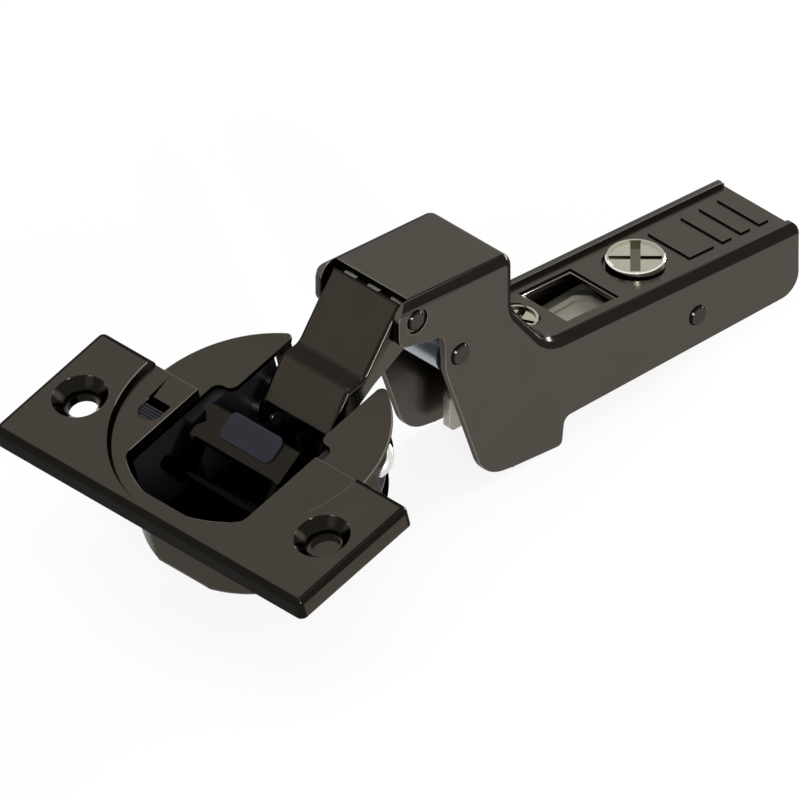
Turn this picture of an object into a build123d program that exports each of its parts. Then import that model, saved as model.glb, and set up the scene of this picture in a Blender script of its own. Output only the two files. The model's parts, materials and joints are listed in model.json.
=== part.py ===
"""Concealed cup hinge with a soft-close damper, a cranked clip-on arm and two adjusting screws.

Millimetres. The origin is on the clip seat, under the axis of the depth screw. +X runs along the arm to its
rear end, +Y along the hinge pins, +Z away from the furniture panel. The hinge stands open.
"""
import os
from math import cos, radians, sin, tan

from build123d import *

# Small gaps between pieces
running_gap = 0.05
side_gap = 0.3

# Pins of the arm, as X and Z
front_pin = (-48.3, 31.0)
front_pin_radius = 1.4
front_pin_ring = 1.9
rear_pin = (-40.3, 21.7)
rear_pin_radius = 1.575
rear_pin_core_radius = 0.9
tilt_pin = (3.8, 5.9)
tilt_pin_radius = 1.45
tilt_range = 2.5
rivet_head_height = 0.35
rivet_chamfer = 0.2

# Folded arm
arm_half_width = 7.8
arm_wall = 1.05
crank_front = -51.7
crank_web_front = -48.9
crank_top_z = 34.5
crank_rear = -30.1
arm_slope = 0.0826
arm_crest_z = 14.6
arm_rear = 22.6
arm_seat_gap = 0.65
bead_width = 1.8
bead_height = 0.7
bead_round = 1.5
crank_foot_z = 23.8
arm_rise_x = -23.4
bead_start = -19.5
window_front = -16.8
window_rear = -8.0
window_half_width = 4.1
window_frame = 0.45
window_frame_depth = 0.25
label_pad_starts = (6.2, 12.3, 15.7, 19.1)
label_pad_ends = (10.7, 14.0, 17.4, 20.8)
label_pad_half_width = 3.9
label_pad_height = 0.25

# Adjusting screws
head_rim = 0.45
head_dish = 0.3
head_slot_depth = 0.75
depth_head_radius = 4.0
depth_head_height = 1.2
depth_head_top = 13.5
depth_neck_radius = 2.5
depth_flange_radius = 5.6
depth_flange_height = 0.7
depth_cam_offset = 2.2
depth_cam_radius = 1.0
side_screw_x = -22.0
side_head_radius = 3.0
side_head_height = 1.3
side_head_top = 14.6
side_neck_radius = 2.0

# Sliding channel under the arm
slide_front = -28.0
slide_rear = 15.0
slide_half_width = arm_half_width - arm_wall - side_gap - running_gap
slide_wall = 1.1
slide_top = 8.2
slide_bottom = 2.4
nose_front = -19.0
nose_rear = -7.0
nose_half_width = 2.9
nose_corner = 1.6
nose_height = 1.8
nose_rim = 0.9
nose_recess = 0.4

# Clip carrier on the furniture panel
carrier_front = -24.0
carrier_rear = 16.0
carrier_half_width = slide_half_width - slide_wall - side_gap - 2 * running_gap
carrier_wall = 1.3
carrier_top = 6.4
channel_height = 4.4
hook_front = -30.8
hook_depth = 1.3
hook_lip = 1.0
hook_pocket_top = 1.0
latch_pin_x = 10.5
latch_pin_z = 2.6
latch_pin_radius = 1.0
latch_spring_half_width = 0.95

# Cup, in its own tilted frame: a towards the arm, b along the pins, up out of the door
cup_centre = (-71.52, 22.46)
cup_tilt = 15.0
cup_radius = 17.4
cup_wall = 1.0
cup_depth = 16.0
cup_front_flat = 16.8
cup_floor_round = 6.0
rim_radius = 18.5
rim_thickness = 0.7
mouth_half_width = 10.9
mouth_front = -16.6
mouth_radius = 17.0
lobe_start = 4.2
lobe_round = 1.3
lobe_tip_round = 0.8
link_slot_half_width = 8.1

# Wing plate
wing_half_length = 28.5
wing_front = -20.3
wing_rear = 1.0
wing_thickness = 3.2
wing_corner = 1.0
wing_edge_round = 0.9
disc_radius = 19.2
disc_depth = 1.0
disc_slope = 0.45
hole_a = -9.5
hole_b = 22.5
hole_radius = 2.1
sink_radius = 3.83
sink_step_radius = 2.5
sink_cone_depth = 1.35
sink_step_depth = 1.9

# Axles of the cup, as a and up
link_axle = (7.9, -9.5)
lever_axle = (11.2, -7.5)
axle_wire_radius = 1.0
axle_bend_b = 11.6

# Folded outer link
link_half_width = arm_half_width - arm_wall - side_gap - running_gap
link_wall = 1.0
link_eye_radius = 2.2
link_top = (-50.2, 33.7)
link_crease = (-56.6, 25.0)
link_knee = (-59.5, 24.6)
link_knee_round = 1.8
link_face_end = (-63.5, 18.8)
link_web_short = 1.1
link_edge_round = 0.9

# Inner link
lever_half_width = 2.6
lever_arch = ((-56.6, 21.9), (-53.9, 25.1), (-49.5, 26.6), (-45.0, 25.3))
lever_hub_radius = 3.1
lever_hub_half_width = arm_half_width - arm_wall - side_gap - 2 * running_gap
lever_eye_radius = 2.0
lever_thickness = 1.5
lever_play = 1.5
lever_play_z = 0.7

# Damper in the cup
flap_axle = (-7.0, -8.0)
flap_axle_radius = 1.0
flap_rear = (0.85, -1.5)
flap_front = (-4.2, -3.5)
flap_half_width = 8.2
flap_sheet = 0.9
flap_notch = 1.2
flap_pad_span = (-5.2, 4.2)
flap_pad_height = 0.45
flap_pad_reach = 3.9
crank_length = 3.0
crank_tip_radius = 0.9
crank_b = cup_radius - cup_wall - 4.1
rod_radius = 0.8
rod_up = -5.6
damper_radius = 2.0
damper_front = -1.5
damper_rear = 7.5
housing_inner = cup_radius - cup_wall - 7.1
housing_front_inner = cup_radius - cup_wall - 5.4
housing_front = -12.5
housing_rear = 13.0
housing_step = -2.5
wire_room_front = 5.4
side_window_front = 6.0
side_window_rear = 14.0
side_window_top = -4.6
side_window_bottom = -14.0
wire_room_bottom = -10.8
switch_front = -7.1
switch_slot_length = 3.7
switch_length = 2.3
switch_inner = 11.7
switch_width = 3.6
switch_groove_count = 4
switch_groove = 0.2
switch_gap = 0.1
switch_end_round = switch_width * 0.47

# Closing spring on the front pin
spacer_radius = 1.85
spacer_width = 2.0
spacer_pitch = link_half_width - link_wall - spacer_width / 2 - 2 * running_gap
spring_radius = 1.66
spring_wire_radius = 0.21

cup_place = Location((cup_centre[0], 0, cup_centre[1]), (0, -cup_tilt, 0))


def outline(corners):
    """A closed face from corners given as x, y and the radius that rounds the corner."""
    count = len(corners)
    arrive, leave, middle = [], [], []
    for i, (x, y, radius) in enumerate(corners):
        before, after = corners[i - 1], corners[(i + 1) % count]
        back = Vector(before[0] - x, before[1] - y).normalized()
        on = Vector(after[0] - x, after[1] - y).normalized()
        half = radians(back.get_angle(on)) / 2
        corner = Vector(x, y)
        if radius == 0:
            arrive.append(corner)
            leave.append(corner)
            middle.append(None)
            continue
        run = radius / tan(half)
        centre = corner + (back + on).normalized() * (radius / sin(half))
        arrive.append(corner + back * run)
        leave.append(corner + on * run)
        middle.append(centre + (corner - centre).normalized() * radius)
    edges = []
    for i in range(count):
        if middle[i] is not None:
            edges.append(ThreePointArc(arrive[i], middle[i], leave[i]))
        edges.append(Line(leave[i], arrive[(i + 1) % count]))
    return make_face(edges)


def slab(face, low, high):
    """A face drawn in X and Z, made solid between two places along Y."""
    return Pos(0, high, 0) * Rot(90, 0, 0) * extrude(face, amount=high - low)


def peg(centre, radius, low, high):
    """A round bar along Y."""
    return Pos(centre[0], (low + high) / 2, centre[1]) * Rot(90, 0, 0) * Cylinder(radius, high - low)


def post(x, y, radius, low, high):
    """A round bar along Z."""
    return Pos(x, y, (low + high) / 2) * Cylinder(radius, high - low)


def block(x, y, z):
    """A box from its low and high ends along X, Y and Z."""
    middle = Pos((x[0] + x[1]) / 2, (y[0] + y[1]) / 2, (z[0] + z[1]) / 2)
    return middle * Box(x[1] - x[0], y[1] - y[0], z[1] - z[0])


def both_sides(shape):
    """A shape and its mirror image across the middle plane."""
    return shape + mirror(shape, about=Plane.XZ)


def crest(x):
    """Height of the arm's beads at a place along it."""
    return arm_crest_z - arm_slope * (x + 19.0)


def arm_outline(corner_round):
    """Side view of the folded arm, with or without the rounds that end its folded top."""
    return outline([
        (crank_front, crank_top_z, 2.4 * corner_round),
        (crank_rear, crank_top_z - arm_slope * (crank_rear - crank_front), 1.8),
        (crank_rear, crank_foot_z, 5.0),
        (arm_rise_x, crest(arm_rise_x), 6.0),
        (arm_rear, crest(arm_rear), 0.6 * corner_round),
        (arm_rear, arm_seat_gap, 3.0),
        (-20.9, 1.85, 1.2),
        (-21.4, -2.35, 0.8),
        (-30.5, -1.35, 8.0),
        (-35.8, -0.4, 6.0),
        (-42.9, 20.0, 3.0),
        (-43.3, 26.0, 1.2),
        (crank_front, 28.1, 2.0),
    ])


def arm_cavity():
    """Side view of the room inside the folded arm."""
    web = arm_wall + bead_height
    return outline([
        (crank_web_front, 60.0, 0),
        (crank_web_front, crank_top_z - arm_slope * (crank_web_front - crank_front) - arm_wall, 0),
        (crank_rear - arm_wall, crank_top_z - arm_slope * (crank_rear - crank_front) - arm_wall, 0.7),
        (crank_rear - arm_wall, crank_foot_z - 0.4, 5.0),
        (arm_rise_x - 0.5, crest(arm_rise_x - 0.5) - web, 6.0),
        (arm_rear + 5.0, crest(arm_rear + 5.0) - web, 0),
        (arm_rear + 5.0, -10.0, 0),
        (crank_front - 5.0, -10.0, 0),
        (crank_front - 5.0, 60.0, 0),
    ])


def top_tool(x0, x1, drop, depth, half_width):
    """A cutter that follows the sloping top of the arm, from a drop below its crest."""
    face = outline([
        (x0, crest(x0) - drop, 0),
        (x1, crest(x1) - drop, 0),
        (x1, crest(x1) - drop - depth, 0),
        (x0, crest(x0) - drop - depth, 0),
    ])
    return slab(face, -half_width, half_width)


def hinge_arm():
    """The cranked arm, one folded sheet with a bead along each edge."""
    body = slab(arm_outline(0), -arm_half_width, arm_half_width)
    top = body.faces().sort_by(Axis.Z)[-1]
    folded = [e for e in top.edges() if abs(abs(e.center().Y) - arm_half_width) < 0.01]
    body = fillet(folded, bead_round)
    body &= slab(arm_outline(1), -arm_half_width, arm_half_width)
    inner = arm_half_width - arm_wall
    body -= slab(arm_cavity(), -inner, inner)
    groove = arm_half_width - bead_width
    face = outline([
        (bead_start, crest(bead_start) + 3.0, 0),
        (bead_start, crest(bead_start) - bead_height, 1.2),
        (arm_rear + 1.0, crest(arm_rear + 1.0) - bead_height, 0),
        (arm_rear + 1.0, crest(arm_rear + 1.0) + 3.0, 0),
    ])
    body -= slab(face, -groove, groove)
    body -= top_tool(window_front, window_rear, -1.0, 5.0, window_half_width)
    frame = window_frame
    body -= top_tool(window_front - frame, window_rear + frame, 0, bead_height + window_frame_depth,
                     window_half_width + frame)
    for start, end in zip(label_pad_starts, label_pad_ends):
        body += top_tool(start, end, bead_height - label_pad_height, 0.6, label_pad_half_width)
    sink = post(0, 0, depth_head_radius + side_gap, depth_head_top - depth_head_height - 0.1, 16.0)
    body -= sink
    pivot = Pos(tilt_pin[0], 0, tilt_pin[1])
    body -= pivot * Rot(0, -tilt_range, 0) * pivot.inverse() * sink
    body -= post(0, 0, depth_neck_radius + 0.8, 9.0, 16.0)
    body -= post(side_screw_x, 0, side_head_radius + side_gap / 2, side_head_top - side_head_height, 22.0)
    body -= post(side_screw_x, 0, side_neck_radius + side_gap / 2, 9.0, 16.0)
    wide = arm_half_width + 1.0
    body -= peg(front_pin, front_pin_radius + running_gap, -wide, wide)
    body -= peg(rear_pin, rear_pin_radius + running_gap, -wide, wide)
    body -= peg(tilt_pin, tilt_pin_radius + running_gap, -wide, wide)
    body -= both_sides(peg(front_pin, front_pin_ring, arm_half_width - 0.35, wide))
    return body


def front_rivet():
    """The rivet that carries the outer link."""
    reach = arm_half_width + 0.05
    body = peg(front_pin, front_pin_radius, -reach, reach)
    return chamfer(body.edges().filter_by(GeomType.CIRCLE), rivet_chamfer)


def rear_rivet():
    """The stepped rivet in the hub of the inner link."""
    reach = arm_half_width + rivet_head_height
    inner = arm_half_width - arm_wall - 0.1
    ends = both_sides(peg(rear_pin, rear_pin_radius, inner, reach))
    rims = [e for e in ends.edges().filter_by(GeomType.CIRCLE) if abs(e.center().Y) > reach - 0.01]
    ends = chamfer(rims, rivet_chamfer)
    return ends + peg(rear_pin, rear_pin_core_radius, -inner - 0.1, inner + 0.1)


def tilt_rivets():
    """Two short rivets on which the arm tilts."""
    reach = arm_half_width + rivet_head_height
    start = slide_half_width - slide_wall
    body = peg(tilt_pin, tilt_pin_radius, start, reach)
    rims = [e for e in body.edges().filter_by(GeomType.CIRCLE) if e.center().Y > reach - 0.01]
    body = chamfer(rims, rivet_chamfer)
    return both_sides(body)


def pivot_spacers():
    """Three plastic rings that keep the spring's coils apart."""
    rings = []
    for step in (-1, 0, 1):
        middle = step * spacer_pitch
        ring = peg(front_pin, spacer_radius, middle - spacer_width / 2, middle + spacer_width / 2)
        rings.append(ring - peg(front_pin, front_pin_radius + running_gap, -arm_half_width, arm_half_width))
    return Compound(children=rings)


def closing_spring():
    """The room of the closing spring's two coils, one each side of the middle spacer."""
    coils = []
    half = (spacer_pitch - spacer_width) / 2 - 0.1
    inside, outside = spring_radius - spring_wire_radius, spring_radius + spring_wire_radius
    for side in (-1, 1):
        middle = side * spacer_pitch / 2
        coil = peg(front_pin, outside, middle - half, middle + half)
        coils.append(coil - peg(front_pin, inside, middle - half - 1, middle + half + 1))
    return Compound(children=coils)


def cross_head(radius, height, top):
    """A screw head with a raised rim and a cross recess, its top at a given height."""
    head = post(0, 0, radius, top - height, top)
    head = chamfer(head.edges().group_by(Axis.Z)[-1], 0.15)
    head -= post(0, 0, radius - head_rim, top - head_dish, top + 1.0)
    arm = radius - head_rim
    wide, thin = radius * 0.17, radius * 0.1
    floor = top - head_slot_depth
    head -= block((-arm, arm), (-wide, wide), (floor, top + 1.0))
    head -= block((-thin, thin), (-arm, arm), (floor, top + 1.0))
    return head


def depth_adjust_cam():
    """The big screw: its eccentric foot moves the channel along the carrier."""
    head = cross_head(depth_head_radius, depth_head_height, depth_head_top)
    neck = post(0, 0, depth_neck_radius, slide_top + running_gap, depth_head_top - depth_head_height + 0.2)
    flange = post(0, 0, depth_flange_radius, slide_top + running_gap, slide_top + depth_flange_height)
    stem = post(0, 0, depth_neck_radius - 0.9, carrier_top + 0.1, slide_top + 1.0)
    foot = post(0, depth_cam_offset, depth_cam_radius, carrier_top - 1.2, carrier_top + 0.3)
    web = post(0, 0, depth_neck_radius + 0.9, carrier_top + 0.1, carrier_top + 0.5)
    return Rot(0, 0, 45) * head + neck + flange + stem + web + foot


def side_adjust_screw():
    """The small screw between the arm and the channel."""
    head = Rot(0, 0, 25) * cross_head(side_head_radius, side_head_height, side_head_top)
    neck = post(0, 0, side_neck_radius, slide_top - 0.55, side_head_top - side_head_height + 0.2)
    return Pos(side_screw_x, 0, 0) * (head + neck)


def nose(inset, low, high):
    """The tongue of the slide that shows in the arm's window, with a rounded rear end."""
    width = nose_half_width - inset
    end = nose_rear - inset
    corner = nose_corner - inset / 2
    plan = outline([
        (nose_front + inset, -width, 0),
        (end - corner, -width, 1.0),
        (end, -width + corner, 1.0),
        (end, width - corner, 1.0),
        (end - corner, width, 1.0),
        (nose_front + inset, width, 0),
    ])
    return Pos(0, 0, low) * extrude(plan, amount=high - low)


def adjusting_slide():
    """The channel inside the arm, which slides along the clip carrier."""
    wide = slide_half_width
    body = block((slide_front, slide_rear), (-wide, wide), (slide_bottom, slide_top))
    body = fillet(body.edges().filter_by(Axis.X).group_by(Axis.Z)[-1], 0.8)
    inner = wide - slide_wall
    length = (slide_front - 1, slide_rear + 1)
    body -= block(length, (-inner, inner), (slide_bottom - 1, slide_top - slide_wall))
    body += nose(0, slide_top - slide_wall, slide_top + nose_height)
    body -= nose(nose_rim, slide_top + nose_height - nose_recess, slide_top + nose_height + 1.0)
    body -= post(0, 0, depth_neck_radius - 0.9 + running_gap, 0, slide_top + 5)
    body -= post(0, 0, depth_neck_radius + 0.2, slide_top, slide_top + 5)
    body -= post(side_screw_x, 0, side_neck_radius + side_gap + 0.05, 0, slide_top + 5)
    return body - peg(tilt_pin, tilt_pin_radius + running_gap, -wide - 1, wide + 1)


def clip_carrier():
    """The zinc carrier that clips to the furniture panel."""
    wide = carrier_half_width
    inner = wide - carrier_wall
    body = block((carrier_front, carrier_rear), (-wide, wide), (0, carrier_top))
    body = fillet(body.edges().filter_by(Axis.X).group_by(Axis.Z)[-1], 0.6)
    hook = outline([
        (carrier_front + 4.0, carrier_top - 1.5, 0),
        (hook_front, carrier_top - 1.5, 1.5),
        (hook_front, -hook_depth, 1.0),
        (carrier_front - 1.0, -hook_depth, 0.6),
        (carrier_front - 1.0, -hook_depth + hook_lip, 0.3),
        (hook_front + 3.0, -hook_depth + hook_lip + 0.2, 0.3),
        (hook_front + 3.0, hook_pocket_top, 0.4),
        (carrier_front + 4.0, hook_pocket_top, 0),
    ])
    body += slab(hook, -wide, wide)
    body -= block((hook_front - 1, carrier_rear + 1), (-inner, inner), (-hook_depth - 1, channel_height))
    across = depth_cam_radius + side_gap
    along = depth_cam_offset + depth_cam_radius + 0.2
    body -= block((-across, across), (-along, along), (channel_height - 1, carrier_top + 1))
    hole = latch_pin_radius
    return body - peg((latch_pin_x, latch_pin_z), hole + 0.02, -wide - 1, wide + 1)


def latch_pin():
    """The pin of the release latch, pressed into the carrier's walls."""
    return peg((latch_pin_x, latch_pin_z), latch_pin_radius, -carrier_half_width, carrier_half_width)


def clip_latch():
    """The sprung release latch in the rear of the carrier."""
    wide = carrier_half_width - carrier_wall - side_gap
    x, z = latch_pin_x, latch_pin_z
    body = outline([
        (x - 3.4, z + 1.3, 0.8),
        (x + 2.0, z + 1.6, 0.8),
        (x + 8.6, z + 0.9, 0.8),
        (x + 9.4, z - 1.6, 0.8),
        (x + 3.0, z - 2.0, 0.8),
        (x - 1.2, z - 2.3, 0.8),
        (x - 3.6, z - 1.5, 0.6),
    ])
    solid = slab(body, -wide, wide)
    solid -= peg((x, z), latch_pin_radius + running_gap, -wide - 1, wide + 1)
    room = latch_pin_radius + 1.3
    return solid - block((x - room, x + room), (-1.3, 1.3), (z - 4, z + 4))


def latch_spring():
    """The torsion spring of the latch, round its pin."""
    centre = (latch_pin_x, latch_pin_z)
    half = latch_spring_half_width
    coil = peg(centre, latch_pin_radius + 0.75, -half, half)
    return coil - peg(centre, latch_pin_radius + 0.15, -half - 1, half + 1)


def mouth_face():
    """Plan of the cup's mouth in the wing plate."""
    reach = wing_rear + 30.0
    rect = Pos((mouth_front + reach) / 2, 0) * Rectangle(reach - mouth_front, 2 * mouth_half_width)
    front = rect & (Circle(mouth_radius) + Pos(20, 0) * Rectangle(40, 60))
    corners = [v for v in front.vertices() if v.X < 0]
    return fillet(corners, 1.6)


def wing_plate():
    """The plate that is screwed to the door, with the dished ring round the mouth."""
    body = block((wing_front, wing_rear), (-wing_half_length, wing_half_length), (-wing_thickness, 0))
    body = fillet(body.edges().filter_by(Axis.Z), wing_corner)
    body = fillet(body.faces().sort_by(Axis.Z)[-1].edges(), wing_edge_round)
    body -= Pos(0, 0, -disc_depth / 2) * Cone(disc_radius - disc_slope, disc_radius, disc_depth)
    body -= Pos(0, 0, -wing_thickness - 1) * extrude(mouth_face(), amount=wing_thickness + 3)
    body -= post(0, 0, rim_radius + 0.1, -wing_thickness - 1, -wing_thickness + rim_thickness)
    for side in (-1, 1):
        b = side * hole_b
        body -= post(hole_a, b, hole_radius, -wing_thickness - 1, 1)
        body -= post(hole_a, b, sink_step_radius, -sink_step_depth, 1)
        cone = Cone(sink_step_radius, sink_radius, sink_cone_depth)
        body -= Pos(hole_a, b, -sink_cone_depth / 2) * cone
    body -= switch_slot()
    return cup_place * body


def switch_slot():
    """The slot of the damper switch, round at its front, with the thin cut that runs on from it."""
    low, high = switch_inner, switch_inner + switch_width
    end = switch_front + switch_slot_length
    plan = outline([
        (switch_front, low, switch_end_round),
        (end, low, 0.3),
        (end, high, 0.3),
        (switch_front, high, switch_end_round),
    ])
    slot = Pos(0, 0, -4.0) * extrude(plan, amount=5.0)
    start = end - 0.5
    sliver = Polyline([(start, high - 0.5), (start + 4.2, high + 0.45), (start, high + 0.15)], close=True)
    return slot + Pos(0, 0, -2.4) * extrude(make_face(sliver), amount=3.0)


def rim_opening():
    """Plan of the opening between the two lobes of the cup's rim."""
    length = lobe_start - mouth_front
    front = Pos((mouth_front + lobe_start) / 2, 0) * Rectangle(length, 2 * mouth_half_width)
    rear = Pos(lobe_start + 10, 0) * Rectangle(22, 2 * link_slot_half_width)
    plan = (front & Circle(mouth_radius)) + rear
    shoulder = [v for v in plan.vertices() if abs(v.X - lobe_start) < 0.01]
    return fillet(shoulder, lobe_round)


def rim_plan():
    """Plan of the cup's rim, open for the links, with round tips on its two lobes."""
    reach = rim_radius + 1 - lobe_start
    plan = Circle(rim_radius) - Pos(lobe_start + reach / 2, 0) * Rectangle(reach, 2 * link_slot_half_width)
    tips = [v for v in plan.vertices() if Vector(v.X, v.Y).length > rim_radius - 0.1]
    return fillet(tips, lobe_tip_round)


def cup_shell():
    """The drawn steel cup with its two lobes."""
    low = -cup_depth
    outer = post(0, 0, cup_radius, low, -wing_thickness)
    outer -= block((-40, -cup_front_flat), (-40, 40), (low - 1, 1))
    outer = fillet(outer.edges().group_by(Axis.Z)[0], cup_floor_round)
    rim = Pos(0, 0, -wing_thickness) * extrude(rim_plan(), amount=rim_thickness)
    inner = post(0, 0, cup_radius - cup_wall, low + cup_wall, -wing_thickness)
    inner -= block((-40, -cup_front_flat + cup_wall), (-40, 40), (low - 1, 1))
    inner = fillet(inner.edges().group_by(Axis.Z)[0], cup_floor_round - cup_wall)
    body = outer + rim - inner
    body -= Pos(0, 0, -wing_thickness - 0.5) * extrude(rim_opening(), amount=3)
    slot = link_slot_half_width
    body -= block((cup_radius - 6, rim_radius + 1), (-slot, slot), (-11.5, 1))
    window = block((side_window_front, side_window_rear), (slot + 0.6, rim_radius + 2),
                   (side_window_bottom, side_window_top))
    body -= both_sides(window)
    return cup_place * (body - switch_slot())


def housing(side):
    """The damper housing on one side of the cup, without its bores."""
    top = -wing_thickness - 0.1
    low = -cup_depth + cup_wall + 0.1
    body = post(0, 0, cup_radius - cup_wall - 0.1, low, top)
    body = fillet(body.edges().group_by(Axis.Z)[0], cup_floor_round - cup_wall)
    body &= block((housing_front, housing_rear), (housing_inner, 30), (low, top))
    body -= block((housing_front - 1, housing_step), (0, housing_front_inner), (low - 1, top + 1))
    height = (wire_room_bottom, side_window_top + 0.2)
    body -= block((wire_room_front, 20), (axle_bend_b - 0.5, 30), height)
    for axle in (link_axle, lever_axle):
        body -= peg(axle, axle_wire_radius + running_gap, 0, 30)
    body -= peg(flap_axle, flap_axle_radius + running_gap, 0, housing_front_inner + 2.6)
    return body if side > 0 else mirror(body, about=Plane.XZ)


def damper_housing_left():
    """The housing that holds the damper cylinder and the crank."""
    body = housing(1)
    gap = 0.1
    body -= Pos((damper_front + damper_rear) / 2, crank_b, rod_up) * Rot(0, 90, 0) * Cylinder(
        damper_radius + gap, damper_rear - damper_front + 2 * gap)
    low = flap_axle[1] - crank_tip_radius - 1.3
    slot = block((-11.0, damper_front), (crank_b - 1.0, crank_b + 1.0), (low, -wing_thickness + 1))
    return cup_place * (body - slot)


def damper_housing_right():
    """The plain housing on the other side."""
    return cup_place * housing(-1)


def damper_cylinder():
    """The sealed fluid damper."""
    length = damper_rear - damper_front
    middle = (damper_front + damper_rear) / 2
    body = Pos(middle, crank_b, rod_up) * Rot(0, 90, 0) * Cylinder(damper_radius, length)
    body = chamfer(body.edges().filter_by(GeomType.CIRCLE), 0.3)
    bore = Cylinder(rod_radius + running_gap, 8.0)
    bore = Pos(damper_front + 3.2, crank_b, rod_up) * Rot(0, 90, 0) * bore
    return cup_place * (body - bore)


def damper_rod():
    """The piston rod, pushed by the crank of the flap."""
    tip = flap_axle[0] - crank_length / 2 + crank_tip_radius + 0.45
    end = damper_front + 3.6
    rod = Pos((tip + end) / 2, crank_b, rod_up) * Rot(0, 90, 0) * Cylinder(rod_radius, end - tip)
    return cup_place * chamfer(rod.edges().filter_by(GeomType.CIRCLE), 0.15)


def flap_lever():
    """The sheet-metal flap that the closing link pushes down."""
    a, b = Vector(*flap_rear), Vector(*flap_front)
    run = (b - a).normalized()
    under = Vector(-run.Y, run.X)
    c, d = b + under * flap_sheet, a + under * flap_sheet
    plate = slab(outline([(a.X, a.Y, 0.3), (b.X, b.Y, 0.3), (c.X, c.Y, 0), (d.X, d.Y, 0)]),
                 -flap_half_width, flap_half_width)
    x, z = flap_axle
    ear = outline([
        (a.X, a.Y, 0.3),
        (b.X, b.Y, 0.8),
        (x - 1.6, z + 0.6, 1.2),
        (x - 1.0, z - 1.7, 1.4),
        (x + 1.6, z - 1.2, 1.2),
        (a.X - 0.5, a.Y - 2.4, 1.2),
    ])
    body = plate + both_sides(slab(ear, flap_half_width - flap_sheet, flap_half_width))
    middle = (a.X + b.X) / 2
    edge = flap_half_width + 0.1
    cut = flap_notch
    notch = Polyline([(middle - cut, edge), (middle, edge - cut), (middle + cut, edge)], close=True)
    body -= Pos(0, 0, -8.0) * extrude(make_face(notch), amount=8.0)
    return cup_place * (body - peg(flap_axle, flap_axle_radius + 0.02, -20, 20))


def flap_pad():
    """The plastic pad on the flap."""
    a, b = Vector(*flap_rear), Vector(*flap_front)
    run = (b - a).normalized()
    over = Vector(run.Y, -run.X)
    if over.Y < 0:
        over = over * -1.0
    start, end = a - run * 0.3, a + run * flap_pad_reach
    lift = over * flap_pad_height
    face = outline([
        (start.X, start.Y, 0),
        (end.X, end.Y, 0),
        (end.X + lift.X * 0.6, end.Y + lift.Y * 0.6, 0.3),
        (start.X + lift.X, start.Y + lift.Y, 0.4),
    ])
    low, high = flap_pad_span
    plan = RectangleRounded(start.X - end.X, high - low, 1.2)
    plan = Pos((start.X + end.X) / 2, (low + high) / 2) * plan
    return cup_place * (slab(face, low, high) & Pos(0, 0, -8.0) * extrude(plan, amount=10.0))


def flap_shaft():
    """The shaft of the flap, with the crank that works the damper."""
    x, z = flap_axle
    shaft = peg(flap_axle, flap_axle_radius, -housing_front_inner - 2.4, housing_front_inner + 2.4)
    angle = radians(120)
    tip = (x + crank_length * cos(angle), z + crank_length * sin(angle))
    low, high = crank_b - 0.6, crank_b + 0.6
    end = peg(tip, crank_tip_radius, low, high)
    across = Vector(-sin(angle), cos(angle)) * 0.55
    arm = outline([
        (x + across.X, z + across.Y, 0),
        (tip[0] + across.X, tip[1] + across.Y, 0),
        (tip[0] - across.X, tip[1] - across.Y, 0),
        (x - across.X, z - across.Y, 0),
    ])
    return cup_place * (shaft + end + slab(arm, low, high))


def damper_switch():
    """The ribbed slider that turns the damper off."""
    low, high = switch_inner + switch_gap, switch_inner + switch_width - switch_gap
    front = switch_front + switch_gap
    rear = front + switch_length
    plan = outline([
        (front, low, switch_end_round - switch_gap),
        (rear, low, 0),
        (rear, high, 0),
        (front, high, switch_end_round - switch_gap),
    ])
    body = Pos(0, 0, -wing_thickness) * extrude(plan, amount=wing_thickness - disc_depth - 0.1)
    pitch = switch_length / (switch_groove_count + 1)
    for i in range(switch_groove_count):
        start = rear - (i + 1) * pitch
        body -= block((start, start + switch_groove), (low - 1, high + 1), (-disc_depth - 0.3, 0))
    return cup_place * body


def hinge_wire(side):
    """A U-shaped wire: its long leg carries the inner link and its short leg the outer link."""
    near, far = Vector(lever_axle[0], lever_axle[1]), Vector(link_axle[0], link_axle[1])
    span = (far - near).length
    middle = (near + far) * 0.5
    b = axle_bend_b
    path = Line((near.X, 0.3, near.Y), (near.X, b, near.Y))
    path += ThreePointArc((near.X, b, near.Y), (middle.X, b + span / 2, middle.Y), (far.X, b, far.Y))
    path += Line((far.X, b, far.Y), (far.X, link_half_width - link_wall - 0.2, far.Y))
    section = Plane(origin=(near.X, 0.3, near.Y), z_dir=(0, 1, 0)) * Circle(axle_wire_radius)
    wire = sweep(section, path=path)
    return cup_place * (wire if side > 0 else mirror(wire, about=Plane.XZ))


def cup_point(a, up):
    """A point of the cup's tilted frame in the hinge's own X and Z."""
    t = radians(cup_tilt)
    return (cup_centre[0] + a * cos(t) - up * sin(t), cup_centre[1] + a * sin(t) + up * cos(t))


def side_step(path, distance):
    """A bent line moved sideways by a distance, with mitred corners."""
    moved = []
    for i, (x, z) in enumerate(path):
        before, after = path[max(i - 1, 0)], path[min(i + 1, len(path) - 1)]
        arrive = Vector(x - before[0], z - before[1])
        leave = Vector(after[0] - x, after[1] - z)
        arrive = arrive.normalized() if i > 0 else leave.normalized()
        leave = leave.normalized() if i < len(path) - 1 else arrive
        along = (arrive + leave).normalized()
        reach = distance / along.dot(arrive)
        moved.append((x - along.Y * reach, z + along.X * reach))
    return moved


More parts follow.
